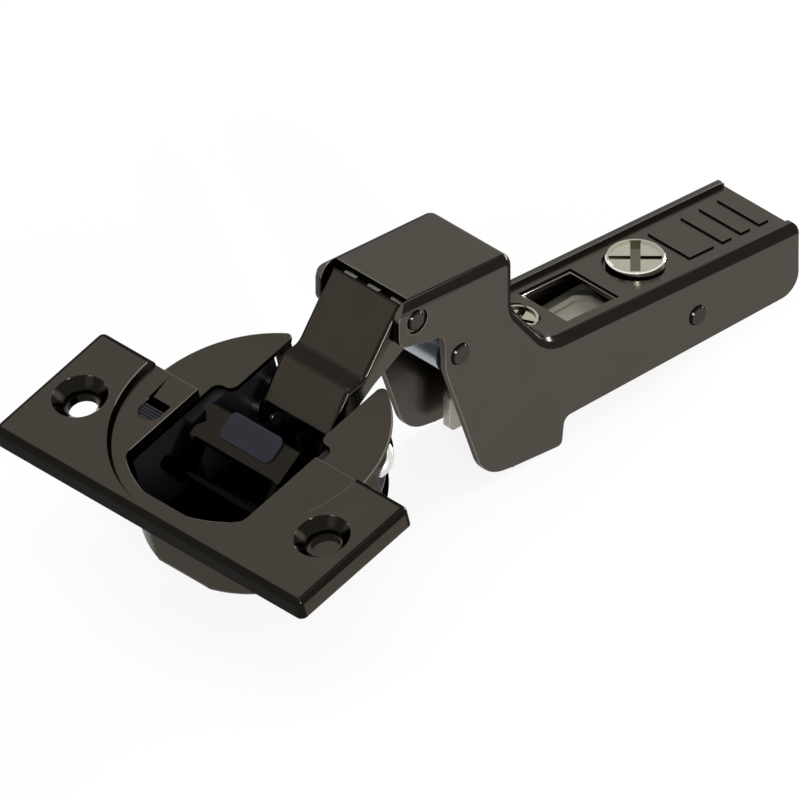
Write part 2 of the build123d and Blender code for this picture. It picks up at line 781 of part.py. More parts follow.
def outer_link():
    """The folded outer link: a web with two side walls that run down to their eyes."""
    px, pz = front_pin
    ex, ez = cup_point(*link_axle)
    wall = outline([
        (link_top[0] + 0.25, link_top[1] + 0.34, 0.5),
        (link_crease[0], link_crease[1], link_knee_round),
        (link_knee[0], link_knee[1], link_knee_round),
        (link_face_end[0], link_face_end[1], 3.0),
        (ex - link_eye_radius, ez - 0.2, 1.0),
        (ex - link_eye_radius * 0.72, ez - link_eye_radius * 1.0, 1.4),
        (ex + link_eye_radius * 0.72, ez - link_eye_radius * 0.9, 1.4),
        (ex + 1.45, ez + 1.5, 0.8),
        (ex + 1.1, ez + 4.1, 1.2),
        (-54.8, 23.4, 3.0),
        (-47.9, 27.2, 2.0),
        (px + 3.1, pz - 1.2, 2.0),
        (px + 2.4, pz + 1.5, 1.5),
        (px - 1.0, pz + 1.9, 0.5),
    ])
    rise = Vector(link_top[0] - link_crease[0], link_top[1] - link_crease[1]).normalized() * 4
    fall = Vector(link_face_end[0] - link_knee[0], link_face_end[1] - link_knee[1]).normalized()
    top = (link_top[0] + rise.X, link_top[1] + rise.Y)
    end = (link_face_end[0] + 4 * fall.X, link_face_end[1] + 4 * fall.Y)
    web_end = (link_face_end[0] - link_web_short * fall.X, link_face_end[1] - link_web_short * fall.Y)
    body = slab(outline([
        (*top, 0),
        (*link_crease, link_knee_round),
        (*link_knee, link_knee_round),
        (*end, 0),
        (-20.0, end[1], 0),
        (-20.0, top[1], 0),
    ]), -link_half_width, link_half_width)
    sides = [e for e in body.edges() if abs(abs(e.center().Y) - link_half_width) < 0.01]
    folded = [e for e in sides if e.center().X < px]
    body = fillet(folded, link_edge_round)
    body &= slab(wall, -link_half_width, link_half_width)
    low_end = end[1] - 20.0
    front = link_face_end[0] - 3.0
    inside = side_step([top, link_crease, link_knee, web_end], link_wall)
    room = outline([
        (*inside[0], 0),
        (*inside[1], link_knee_round + link_wall),
        (*inside[2], 0.9),
        (*inside[3], 0),
        (front, web_end[1] - 0.6, 0),
        (front, low_end, 0),
        (-20.0, low_end, 0),
        (-20.0, top[1], 0),
    ])
    inner = link_half_width - link_wall
    body -= slab(room, -inner, inner)
    body -= peg(front_pin, front_pin_radius + running_gap, -20, 20)
    return body - peg((ex, ez), axle_wire_radius + running_gap, -20, 20)


def inner_link():
    """The arched inner link, with a slotted hub that leaves play round the rear rivet."""
    hx, hz = rear_pin
    ex, ez = cup_point(*lever_axle)
    half = lever_thickness / 2
    path = [(ex, ez), *lever_arch, (hx, hz)]
    strip = None
    for start, end in zip(path[:-1], path[1:]):
        run = Vector(end[0] - start[0], end[1] - start[1]).normalized()
        side = Vector(-run.Y, run.X) * half
        face = outline([
            (start[0] + side.X, start[1] + side.Y, 0),
            (end[0] + side.X, end[1] + side.Y, 0),
            (end[0] - side.X, end[1] - side.Y, 0),
            (start[0] - side.X, start[1] - side.Y, 0),
        ])
        piece = slab(face, -lever_half_width, lever_half_width)
        piece += peg(end, half, -lever_half_width, lever_half_width)
        strip = piece if strip is None else strip + piece
    body = strip + peg((ex, ez), lever_eye_radius, -lever_half_width, lever_half_width)
    body += peg(rear_pin, lever_hub_radius, -lever_hub_half_width, lever_hub_half_width)
    body -= peg((ex, ez), axle_wire_radius + running_gap, -20, 20)
    reach = lever_play + rear_pin_core_radius + running_gap
    rise = lever_play_z + rear_pin_core_radius + running_gap
    slot = SlotOverall(2 * reach, 2 * rise)
    slot = Pos(hx, hz) * slot
    return body - slab(slot, -20, 20)


builders = {
    "clip_carrier": clip_carrier,
    "latch_pin": latch_pin,
    "latch_spring": latch_spring,
    "clip_latch": clip_latch,
    "adjusting_slide": adjusting_slide,
    "depth_adjust_cam": depth_adjust_cam,
    "hinge_arm": hinge_arm,
    "front_rivet": front_rivet,
    "rear_rivet": rear_rivet,
    "tilt_rivets": tilt_rivets,
    "pivot_spacers": pivot_spacers,
    "closing_spring": closing_spring,
    "side_adjust_screw": side_adjust_screw,
    "outer_link": outer_link,
    "inner_link": inner_link,
    "wing_plate": wing_plate,
    "cup_shell": cup_shell,
    "damper_housing_left": damper_housing_left,
    "damper_housing_right": damper_housing_right,
    "hinge_wire_left": lambda: hinge_wire(1),
    "hinge_wire_right": lambda: hinge_wire(-1),
    "damper_cylinder": damper_cylinder,
    "damper_rod": damper_rod,
    "flap_lever": flap_lever,
    "flap_pad": flap_pad,
    "flap_shaft": flap_shaft,
    "damper_switch": damper_switch,
}

os.makedirs("parts", exist_ok=True)
for name, build in builders.items():
    export_step(build(), f"parts/{name}.step")
    print("wrote", name)
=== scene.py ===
# %% [markdown]
# # Concealed cup hinge
# This lesson dresses a finished hinge model. Every solid already has its size and place, so here
# each piece gets clean shading, soft edges and the finish of the real metal or plastic, with shade
# and highlights painted into its folds, rims and hollows, and then light, floor and camera are
# added. The solids come from the imported frame, and each piece stays where the frame puts it.
# Only the foot of the cup changes its form, and the springs, rings and wires are made again.

# %% Load the frame
import bpy
import bmesh
import json
from math import cos, radians, sin
from mathutils import Matrix, Vector

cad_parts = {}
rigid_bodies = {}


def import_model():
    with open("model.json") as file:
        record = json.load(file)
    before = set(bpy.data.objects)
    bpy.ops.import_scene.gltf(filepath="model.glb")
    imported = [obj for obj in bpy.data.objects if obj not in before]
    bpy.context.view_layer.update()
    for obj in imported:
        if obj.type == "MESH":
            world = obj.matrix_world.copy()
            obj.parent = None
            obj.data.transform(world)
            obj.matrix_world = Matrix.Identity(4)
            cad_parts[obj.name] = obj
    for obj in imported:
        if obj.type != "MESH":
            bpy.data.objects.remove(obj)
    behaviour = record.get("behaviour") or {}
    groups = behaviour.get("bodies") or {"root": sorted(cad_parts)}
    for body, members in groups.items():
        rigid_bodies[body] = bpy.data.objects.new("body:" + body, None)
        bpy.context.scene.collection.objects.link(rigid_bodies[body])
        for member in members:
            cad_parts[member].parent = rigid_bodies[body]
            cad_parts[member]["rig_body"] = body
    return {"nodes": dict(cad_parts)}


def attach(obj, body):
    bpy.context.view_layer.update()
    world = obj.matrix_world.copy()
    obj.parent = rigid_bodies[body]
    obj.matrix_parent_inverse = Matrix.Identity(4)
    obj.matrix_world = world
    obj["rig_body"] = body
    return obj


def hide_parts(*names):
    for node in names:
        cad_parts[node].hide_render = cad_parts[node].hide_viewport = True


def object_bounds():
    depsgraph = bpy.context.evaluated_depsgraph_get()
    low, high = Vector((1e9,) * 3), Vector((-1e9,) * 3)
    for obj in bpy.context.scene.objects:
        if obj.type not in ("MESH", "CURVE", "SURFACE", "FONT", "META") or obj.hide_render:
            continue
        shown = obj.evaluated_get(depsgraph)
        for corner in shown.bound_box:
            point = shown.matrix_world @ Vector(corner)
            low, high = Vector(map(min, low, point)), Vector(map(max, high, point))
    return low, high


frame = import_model()
cad_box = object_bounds()
mm = 0.001
print("nodes:", len(frame["nodes"]), "box:", [[round(v, 4) for v in corner] for corner in cad_box])

# %% [markdown]
# ## Helpers for node trees
# Materials, shapes and the world are all made of nodes. These helpers add a node, give its inputs
# their values or link them, and hand back its outputs.

# %% Helpers for every node tree


def feed(tree, node, inputs):
    """Give a node's inputs their values, and link those that get another node's output."""
    for name, value in inputs.items():
        if isinstance(value, bpy.types.NodeSocket):
            tree.links.new(value, node.inputs[name])
        else:
            node.inputs[name].default_value = value
    return node.outputs


def added(tree, kind, inputs):
    return feed(tree, tree.nodes.new(kind), inputs)


def arithmetic(tree, operation, *values):
    node = tree.nodes.new("ShaderNodeMath")
    node.operation = operation
    return feed(tree, node, dict(enumerate(values)))["Value"]


def blend_colours(tree, factor, first, second):
    mix = tree.nodes.new("ShaderNodeMix")
    mix.data_type = "RGBA"
    return feed(tree, mix, {"Factor": factor, "A": first, "B": second})["Result"]


def shader_group(name, inputs, outputs):
    """A node group with named inputs, their first values, and named outputs."""
    tree = bpy.data.node_groups.new(name, "ShaderNodeTree")
    for label, default in inputs.items():
        kind = "NodeSocketColor" if isinstance(default, tuple) else "NodeSocketFloat"
        socket = tree.interface.new_socket(name=label, in_out="INPUT", socket_type=kind)
        socket.default_value = default
    for label, kind in outputs.items():
        tree.interface.new_socket(name=label, in_out="OUTPUT", socket_type=kind)
    return tree


# %% [markdown]
# ## Surface effects that several finishes share
# Nickel over pressed steel is never a perfect mirror: it has a faint cloudiness from the plating
# bath and a very fine grain from the rolled sheet. Both are made once as a node group, and each
# material takes its own amounts.

# %% A group for plating cloud and sheet grain
cloud_detail, grain_detail = 5.0, 2.0


def noise(tree, place, size, detail):
    inputs = {"Vector": place, "Scale": size, "Detail": detail}
    return added(tree, "ShaderNodeTexNoise", inputs)["Fac"]


def plating_group():
    tree = shader_group(
        "plating",
        {"Colour": (0.1, 0.1, 0.1, 1), "Cloud colour": (0.1, 0.1, 0.1, 1), "Roughness": 0.2,
         "Roughness change": 0.05, "Cloud size": 160.0, "Grain size": 4000.0},
        {"Colour": "NodeSocketColor", "Roughness": "NodeSocketFloat", "Height": "NodeSocketFloat"})
    start = tree.nodes.new("NodeGroupInput").outputs
    place = tree.nodes.new("ShaderNodeTexCoord").outputs["Object"]
    cloud = noise(tree, place, start["Cloud size"], cloud_detail)
    grain = noise(tree, place, start["Grain size"], grain_detail)
    tone = blend_colours(tree, cloud, start["Colour"], start["Cloud colour"])
    rough = arithmetic(tree, "MULTIPLY_ADD", cloud, start["Roughness change"], start["Roughness"])
    added(tree, "NodeGroupOutput", {"Colour": tone, "Roughness": rough, "Height": grain})
    return tree


plating = plating_group()
print("group:", plating.name)

# %% [markdown]
# ## Painted shade and light on pressed sheet
# The rolled folds of black nickel sheet look nearly black and glossy, as they mirror dark
# surroundings, and its cut rims catch the light. Both are painted: each dressed mesh carries two
# values, one for a dark reflection painted into the folds and painted shade in narrow steps and
# shaded places, and one for a painted highlight on the rims and painted light on a few faces. A
# second group turns them into colour and roughness.

# %% A group that paints shade into folds and highlights onto rims


# The first value paints shade and dark reflection into the colour, the second paints highlights and
# light.
def shade_and_light_painting_group():
    tree = shader_group(
        "shade_and_light_painting",
        {"Colour": (0.1, 0.1, 0.1, 1), "Painted shade colour": (0.01, 0.01, 0.01, 1),
         "Painted light colour": (0.3, 0.3, 0.3, 1), "Roughness": 0.2, "Fold gloss": 0.1},
        {"Colour": "NodeSocketColor", "Roughness": "NodeSocketFloat"})
    start = tree.nodes.new("NodeGroupInput").outputs
    masks = {}
    for name in ("painted_shade", "rim"):
        mask = tree.nodes.new("ShaderNodeAttribute")
        mask.attribute_name = name
        masks[name] = mask.outputs["Fac"]
    shaded_colour = blend_colours(tree, masks["painted_shade"], start["Colour"], start["Painted shade colour"])
    rimmed = blend_colours(tree, masks["rim"], shaded_colour, start["Painted light colour"])
    gloss = arithmetic(tree, "MULTIPLY", masks["painted_shade"], start["Fold gloss"])
    rough = arithmetic(tree, "SUBTRACT", start["Roughness"], gloss)
    added(tree, "NodeGroupOutput", {"Colour": rimmed, "Roughness": rough})
    return tree


shade_and_light_painting = shade_and_light_painting_group()
print("group:", shade_and_light_painting.name)

# %% [markdown]
# ## The metals
# The arm, links, cup and wing are pressed steel with black nickel: a dark, warm mirror. Base
# Color holds what a mirror of it reflects, so a dark colour with Metallic 1 gives black nickel,
# and a light one gives bright nickel. Seen nearly edge on, a metal turns white. Specular Tint
# keeps the dark plating from turning lighter there than it is in the photograph.

# %% Metal finishes
cloud_size, cloud_roughness = 160.0, 0.06
fold_gloss, relief_height = 0.1, 0.0001
dark_tone, dark_glancing = 0.2, 0.55


def shade(value):
    """A screen colour of 0 to 255 as the linear colour a shader wants."""
    value /= 255.0
    return value / 12.92 if value <= 0.04045 else ((value + 0.055) / 1.055) ** 2.4


def colour(red, green, blue):
    return (shade(red), shade(green), shade(blue), 1.0)


def placed_group(tree, group, inputs):
    node = tree.nodes.new("ShaderNodeGroup")
    node.node_tree = group
    return feed(tree, node, inputs)


def plated(name, tone, cloud, roughness, painted_shade=None, rim=None, bump=0.02, metallic=1.0,
           grain=4000.0, specular=0.5):
    """A finish: its tone, the tone of its clouds, the painted shade of its folds and shaded places,
    and the painted highlight of its rims.
    """
    material = bpy.data.materials.new(name)
    material.use_nodes = True
    tree = material.node_tree
    glancing = dark_glancing if metallic == 1.0 and tone[1] < dark_tone else 1.0
    effect = placed_group(tree, plating, {
        "Colour": tone, "Cloud colour": cloud, "Cloud size": cloud_size,
        "Roughness": roughness, "Roughness change": cloud_roughness, "Grain size": grain})
    # Paint the shade of folds and shaded places, and the highlights of rims, into the colour.
    edges = placed_group(tree, shade_and_light_painting, {
        "Colour": effect["Colour"], "Roughness": effect["Roughness"],
        "Painted shade colour": painted_shade or tone, "Painted light colour": rim or tone,
        "Fold gloss": fold_gloss if painted_shade else 0.0})
    relief = added(tree, "ShaderNodeBump", {
        "Strength": bump, "Distance": relief_height, "Height": effect["Height"]})
    feed(tree, tree.nodes["Principled BSDF"], {
        "Metallic": metallic, "Specular IOR Level": specular,
        "Specular Tint": (glancing, glancing, glancing, 1),
        "Base Color": edges["Colour"], "Roughness": edges["Roughness"],
        "Normal": relief["Normal"]})
    return material


# The colours after the roughness are painted: first the shade and dark reflection of folds and
# shaded places, then the highlight of rims and lit faces.
painted_shade_black = colour(34, 31, 28)
black_rim = colour(122, 117, 108)
arm_nickel = plated("arm_black_nickel", colour(86, 81, 75), colour(80, 75, 69), 0.22,
                    painted_shade_black, black_rim)
wing_nickel = plated("wing_black_nickel", colour(73, 67, 61), colour(67, 61, 55), 0.20,
                     colour(28, 26, 23), black_rim)
link_nickel = plated("link_black_nickel", colour(62, 56, 50), colour(58, 52, 47), 0.22,
                     painted_shade_black, black_rim)
cup_nickel = plated("cup_black_nickel", colour(70, 65, 58), colour(66, 61, 54), 0.22,
                    colour(16, 14, 12), black_rim)
rivet_nickel = plated("rivet_black_nickel", colour(72, 68, 64), colour(64, 60, 56), 0.20,
                      painted_shade_black, colour(96, 92, 86))
flap_nickel = plated("flap_black_nickel", colour(44, 41, 35), colour(39, 36, 31), 0.22,
                     colour(14, 13, 11), colour(92, 87, 74))
# The shaft's lighter tone is a painted highlight for its crank end; inside the cup it gets painted
# shade.
shaft_nickel_painted_light = plated("shaft_black_nickel_painted_light", colour(110, 106, 92), colour(96, 92, 80), 0.20,
                      colour(14, 13, 11))
bright_nickel = plated("bright_nickel", colour(186, 182, 168), colour(160, 156, 142), 0.14,
                       colour(96, 92, 76), colour(244, 242, 234))
wire_nickel = plated("wire_nickel", colour(226, 225, 220), colour(212, 210, 205), 0.18)
hub_zinc = plated("hub_zinc", colour(150, 156, 162), colour(134, 140, 146), 0.30,
                  rim=colour(190, 194, 198))
slide_zinc = plated("slide_zinc", colour(182, 178, 164), colour(170, 166, 152), 0.45,
                    rim=colour(208, 205, 194), metallic=0.35, bump=0.06, grain=1500.0)
cast_zinc = plated("cast_zinc", colour(168, 164, 154), colour(150, 146, 136), 0.38,
                   rim=colour(196, 192, 182), bump=0.08, grain=1500.0)
spring_wire = plated("spring_wire", colour(70, 68, 66), colour(52, 50, 49), 0.30)
print("materials, with the frame's own:", len(bpy.data.materials))

# %% [markdown]
# ## The plastics
# The damper's housings and its switch are slate-coloured moulded plastic, and the spacers are
# light grey. Moulded plastic has a fine spark-eroded skin, so it uses the same groups with
# Metallic 0 and a stronger, coarser grain.

# %% Plastic finishes
moulded = {"metallic": 0.0, "grain": 2200.0}
# Here too the colours after the roughness are painted shade and painted highlight.
slate_plastic = plated("slate_plastic", colour(36, 36, 44), colour(32, 32, 39), 0.42,
                       rim=colour(60, 60, 68), bump=0.15, specular=0.15, **moulded)
housing_plastic = plated("housing_plastic", colour(70, 68, 76), colour(62, 60, 68), 0.42,
                         colour(26, 26, 29), colour(44, 44, 49), bump=0.12, specular=0.15,
                         **moulded)
grey_plastic = plated("grey_plastic", colour(176, 176, 172), colour(164, 164, 160), 0.45,
                      rim=colour(190, 190, 186), bump=0.12, **moulded)
dark_plastic = plated("dark_plastic", colour(40, 40, 43), colour(34, 34, 37), 0.40,
                      rim=colour(56, 56, 60), bump=0.12, **moulded)
print("plastics done")

# %% [markdown]
# ## Dressing a pressed piece
# The frame's meshes are loose triangles, which shade in flat facets. A copy is merged and its
# flat areas are joined. Narrow strips that meet at a small angle are the rolled folds; a dark
# reflection is painted into them, and painted shade into narrow steps. Real edges get a narrow
# bevel whose faces get a painted highlight, and weighted normals then keep the flat areas flat.
# The copy stands for the solid, which stays in the model for contact.

# %% Find the folds, where shade is painted
# The angles of a bend, the width of a narrow step, how alike a strip and a flat beside it face
# (a cosine), and how far a strip has to face sideways where only such strips count
least_bend, most_bend = radians(2), radians(31)
step_width = 0.5 * mm
flat_beside = 0.86
turned_to_side = 0.12


def width_of(face):
    return face.calc_area() / max(edge.calc_length() for edge in face.edges)


def is_bent(edge):
    return len(edge.link_faces) == 2 and least_bend < edge.calc_face_angle(0) < most_bend


def paint_fold_shade(shape, painted_shade, widest, along_y):
    """Painted dark reflection in folds and painted shade in steps: corners of narrow bent strips
    get 1, falling to 0 at a flat, and those of narrow steps 1.
    """
    strips, steps = set(), set()
    for face in shape.faces:
        width = width_of(face)
        if width < widest * mm and any(is_bent(edge) for edge in face.edges):
            if not along_y or abs(face.normal.y) > turned_to_side:
                strips.add(face)
        elif width < step_width:
            steps.add(face)
    for face in strips:
        for corner in face.loops:
            around = [f for f in corner.vert.link_faces if f not in strips]
            flats = [f for f in around if f.normal.dot(face.normal) > flat_beside]
            corner[painted_shade] = 0.0 if flats else 1.0
    for face in steps:
        for corner in face.loops:
            corner[painted_shade] = 1.0
    return strips | steps


# %% Find the rims that get a painted highlight
rim_angle, tip_angle = radians(32), radians(40)


def has_sharp_tip(vertex, picked):
    """True where two picked edges meet at an acute angle, which a bevel would blow up."""
    edges = [edge for edge in vertex.link_edges if edge in picked]
    runs = [(edge.other_vert(vertex).co - vertex.co).normalized() for edge in edges]
    return any(a.dot(b) > cos(tip_angle) for n, a in enumerate(runs) for b in runs[n + 1:])


def is_rim(edge, marked, shadowed):
    if len(edge.link_faces) != 2 or not edge.is_convex or edge.calc_face_angle(0) <= rim_angle:
        return False
    narrow = any(f in marked and width_of(f) < step_width for f in edge.link_faces)
    return not narrow and not any(f in shadowed for f in edge.link_faces)


def find_rims(shape, marked, shadowed):
    """The outward edges that get a painted highlight, apart from those at places of painted shade
    and sharp tips.
    """
    picked = {e for e in shape.edges if is_rim(e, marked, shadowed)}
    tips = {v for e in picked for v in e.verts if has_sharp_tip(v, picked)}
    return [e for e in picked if not any(v in tips for v in e.verts)]


# %% [markdown]
# ## The boxy foot of the cup
# The solid's cup has one wide round all along its floor. The pressed cup is boxier under the
# wing, where its wall goes nearly down to the floor before it turns, and rounder towards the arm.
# The copy's round is pushed outwards there, point by point, and the floor and the wall stay where
# they are. All sizes are in millimetres, in the cup's own frame.

# %% Push the round of the floor outwards
cup_place = Matrix.Translation((-71.52 * mm, 0, 22.46 * mm)) @ Matrix.Rotation(radians(-15), 4, "Y")
cup_back = cup_place.inverted()
wall_radius, cup_floor = 17.4, -16.0
flat_shift, flat_share = 0.6, 0.27
wide_round, tight_round = 6.0, 2.5
change_start, change_length = 14.0, 24.0
touching = 0.01


def within_one(value):
    return min(1.0, max(0.0, value))


def boxier(point):
    """Push a point of the wide round outwards: fully under the wing, and not at all at the arm."""
    a, b, up = (cup_back @ point) / mm
    across = Vector((a, b))
    on_flat = a < 0 and abs(b) < flat_share * abs(a)
    reach = -a + flat_shift if on_flat else across.length
    out = Vector((-1, 0)) if on_flat else across.normalized()
    drop = cup_floor + wide_round - up
    side = reach - (wall_radius - wide_round)
    if drop < -touching or side < touching:
        return point
    share = within_one((change_start - a) / change_length)
    push = (wide_round - tight_round) * share * share * (3 - 2 * share)
    size = Vector((side, drop)).length
    across += out * push * (1 - side / size)
    up -= push * (1 - drop / size)
    return cup_place @ (Vector((across.x, across.y, up)) * mm)


print("round of the foot:", wide_round, "mm, under the wing", tight_round, "mm")

# %% [markdown]
# ## Painted shade and painted light
# Some areas of the pressed parts lie in shade or mirror something dark, because they face into the
# cup or up at the arm, and a few catch more light. That shade, dark reflection and light is painted
# into their colour. A small function for each such piece looks at a point in millimetres and the
# way its surface faces, in the cup's own frame where that is easier, and returns how much shade
# (or light) is painted there, from 0 to 1.

# %% Painted shade and light by place
below_disc, housing_radius = -2.6, 15.0
flap_height, flap_start, flap_slope, flap_sheet = -1.5, 0.85, 0.396, 0.45
shaft_end = -5.5
ring_inside, ring_outside, ring_foot = 15.5, 21.0, -1.2
# Heights of the slot floors, the line that parts their painted shade from their painted highlight,
# and the radius where the head's painted highlight starts
depth_slot_top, depth_slot_line, side_slot_top, screw_edge = 12.95, -0.5, 13.9, 3.5
faces_up = 0.7


def in_cup(point, facing):
    """A point in millimetres and a direction, seen in the cup's own frame."""
    return cup_back @ (point * mm) / mm, cup_back.to_3x3() @ facing


# Painted shade inside the cup, below the disc.
def cup_inside_shade(point, facing):
    place, turned = in_cup(point, facing)
    inwards = turned.xy.dot(place.xy) < -0.2 * place.xy.length
    return 1.0 if place.z < below_disc and (inwards or turned.z > 0.5) else 0.0


# Painted shade under the flap's plate and on its faces that don't face up.
def under_flap_shade(point, facing):
    place, turned = in_cup(point, facing)
    plate = flap_height + (place.x - flap_start) * flap_slope
    return 1.0 if place.z < plate - flap_sheet or turned.z < 0.5 else 0.0


# Painted shade on the shaft inside the cup; its end beyond stays light.
def flap_shaft_shade(point, facing):
    return 1.0 if point.y > shaft_end else 0.0


# Painted shade on the housings within the cup.
def housing_shade(point, facing):
    place, _ = in_cup(point, facing)
    return 1.0 if place.xy.length < housing_radius else 0.0


def wing_front_reflection(point, facing):
    """Painted dark reflection on the front of the wing and on the slope of the pressed ring round
    the mouth.
    """
    place, turned = in_cup(point, facing)
    in_ring = ring_inside < place.xy.length < ring_outside and place.z > ring_foot
    if in_ring and 0.2 < turned.z < 0.985:
        return 0.9
    return within_one((-turned.x - 0.3) / 0.5)


def link_step_reflection(point, facing):
    """Painted dark reflection: the short step between crease and knee looks up at the arm, and
    mirrors its underside.
    """
    return 0.85 * within_one((facing.z - 0.74) / 0.22)


# Painted light on the side faces of the link.
def link_side_light(point, facing):
    return 0.3 if abs(facing.y) > 0.9 else 0.0


def in_depth_slot(point, facing):
    return point.z < depth_slot_top and facing.z > faces_up


# Painted shade on the part of the depth screw's slot floor that lies in shade.
def depth_slot_shade(point, facing):
    in_shade = point.x - point.y > depth_slot_line
    return 1.0 if in_depth_slot(point, facing) and in_shade else 0.0


def screw_rim(point, facing):
    """Painted highlights on the head's turned edge and the chamfers of the slots, the brightest
    places of the screw.
    """
    if in_depth_slot(point, facing):
        return 0.8 if point.x - point.y < depth_slot_line else 0.0
    out = Vector((point.x, point.y)).length
    return 0.9 if out > screw_edge and facing.z > 0.2 else 0.0


# Painted shade on the floor of the side screw's slot.
def side_slot_shade(point, facing):
    return 1.0 if point.z < side_slot_top and facing.z > faces_up else 0.0


print("shaded places ready")

# %% Paint shade and light by place, bevel the rims, smooth the rest
wholly_dark, towards_middle = 0.95, 0.8


def paint_shade_and_light(shape, painted_shade, rim, marked, dark, light):
    """Paint shade and light into every corner by its place, and return the faces that are wholly in
    painted shade.
    """
    shadowed = set()
    for face in shape.faces:
        middle = face.calc_center_median()
        if dark and dark(middle / mm, face.normal) > wholly_dark:
            shadowed.add(face)
        for corner in face.loops:
            facing = corner.vert.normal if face in marked else face.normal
            place = (corner.vert.co * (1 - towards_middle) + middle * towards_middle) / mm
            if dark:
                corner[painted_shade] = max(corner[painted_shade], dark(place, facing))
            if light:
                corner[rim] = light(place, facing)
    return shadowed


# The bevel's faces get a painted highlight and lose any painted shade.
def bevel_rims(shape, rims, width, painted_shade, rim):
    made = bmesh.ops.bevel(shape, geom=rims, offset=width * mm, offset_type="OFFSET", segments=2,
                           profile=0.5, affect="EDGES", clamp_overlap=False, miter_outer="SHARP")
    for face in made["faces"]:
        for corner in face.loops:
            corner[painted_shade] = 0.0
            corner[rim] = 1.0


def smooth_faces(shape, crease):
    """Shade the faces smooth, with sharp lines where they meet at more than the crease angle."""
    for face in shape.faces:
        face.smooth = True
    for line in shape.edges:
        line.smooth = line.calc_face_angle(0) < crease


# %% Copy, merge, mark and finish
same_place = 1e-6
flat_angle, sheet_crease = radians(0.6), radians(40)


def dressed(node, material, width, widest=0.9, along_y=False, reshape=None, dark=None, light=None):
    """A clean copy of the node's mesh in its finish, which stands for the solid."""
    source = frame["nodes"][node]
    mesh = source.data.copy()
    shape = bmesh.new()
    shape.from_mesh(mesh)
    bmesh.ops.remove_doubles(shape, verts=shape.verts, dist=same_place)
    if reshape:
        for vertex in shape.verts:
            vertex.co = reshape(vertex.co)
        shape.normal_update()
    bmesh.ops.dissolve_limit(shape, angle_limit=flat_angle, verts=shape.verts, edges=shape.edges)
    # Two values on every corner: painted shade with dark reflection, and painted light.
    painted_shade = shape.loops.layers.float.new("painted_shade")
    rim = shape.loops.layers.float.new("rim")
    marked = paint_fold_shade(shape, painted_shade, widest, along_y) if widest else set()
    shadowed = paint_shade_and_light(shape, painted_shade, rim, marked, dark, light)
    rims = find_rims(shape, marked, shadowed)
    if rims:
        bevel_rims(shape, rims, width, painted_shade, rim)
    smooth_faces(shape, sheet_crease)
    for face in shape.faces:
        face.material_index = 0
    shape.to_mesh(mesh)
    shape.free()
    mesh.materials.clear()
    mesh.materials.append(material)
    piece = bpy.data.objects.new(node + "_dressed", mesh)
    bpy.context.scene.collection.objects.link(piece)
    weighted = piece.modifiers.new("flats", "WEIGHTED_NORMAL")
    weighted.keep_sharp = True
    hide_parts(node)
    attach(piece, source["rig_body"])


# %% Dress every piece
# The finish and the width of the bevel, in millimetres
finishes = {
    "hinge_arm": (arm_nickel, 0.10),
    "wing_plate": (wing_nickel, 0.10),
    "cup_shell": (cup_nickel, 0.12),
    "outer_link": (link_nickel, 0.12),
    "inner_link": (hub_zinc, 0.10),
    "front_rivet": (rivet_nickel, 0.04),
    "rear_rivet": (rivet_nickel, 0.04),
    "tilt_rivets": (rivet_nickel, 0.04),
    "depth_adjust_cam": (bright_nickel, 0.05),
    "side_adjust_screw": (bright_nickel, 0.05),
    "adjusting_slide": (slide_zinc, 0.10),
    "clip_carrier": (cast_zinc, 0.15),
    "clip_latch": (rivet_nickel, 0.12),
    "latch_pin": (bright_nickel, 0.10),
    "damper_rod": (bright_nickel, 0.05),
    "flap_lever": (flap_nickel, 0.10),
    "flap_shaft": (shaft_nickel_painted_light, 0.06),
    "flap_pad": (slate_plastic, 0.10),
    "damper_switch": (slate_plastic, 0.05),
    "damper_housing_left": (housing_plastic, 0.12),
    "damper_housing_right": (housing_plastic, 0.12),
    "damper_cylinder": (dark_plastic, 0.06),
}
# What differs from piece to piece: which strips are folds, what is reshaped, and where shade or
# light is painted
extras = {
    "hinge_arm": {"along_y": True},
    "outer_link": {"along_y": True, "dark": link_step_reflection, "light": link_side_light},
    "cup_shell": {"reshape": boxier, "dark": cup_inside_shade, "widest": 0},
    "wing_plate": {"dark": wing_front_reflection},
    "flap_lever": {"dark": under_flap_shade},
    "flap_shaft": {"dark": flap_shaft_shade},
    "damper_housing_left": {"dark": housing_shade},
    "damper_housing_right": {"dark": housing_shade},
    "depth_adjust_cam": {"dark": depth_slot_shade, "light": screw_rim},
    "side_adjust_screw": {"dark": side_slot_shade},
}
for node, (finish, width) in finishes.items():
    dressed(node, finish, width, **extras.get(node, {}))
print("dressed:", len(finishes))

# %% [markdown]
# ## Wound and bent wires, and the rings
# The springs are wire wound round a pin, the hinge wires are bent to a U, and three equal plastic
# rings sit on the front pin. Each is made here by its rule with Geometry Nodes: a spiral or a path
# with rounded bends, a small section run along it, and a row of copies. A change of one number,
# such as the turns of a spring, makes the piece again.

# %% Helpers for the shapes
section_points = 12


def tree_start(name, sizes):
    """A tree with a geometry in and out, a named input for each size, and a material input."""
    tree = bpy.data.node_groups.new(name, "GeometryNodeTree")
    new_socket = tree.interface.new_socket
    new_socket(name="Geometry", in_out="OUTPUT", socket_type="NodeSocketGeometry")
    new_socket(name="Geometry", in_out="INPUT", socket_type="NodeSocketGeometry")
    for label, default in sizes.items():
        kind = "NodeSocketInt" if isinstance(default, int) else "NodeSocketFloat"
        new_socket(name=label, in_out="INPUT", socket_type=kind).default_value = default
    new_socket(name="Material", in_out="INPUT", socket_type="NodeSocketMaterial")
    return tree, tree.nodes.new("NodeGroupInput").outputs


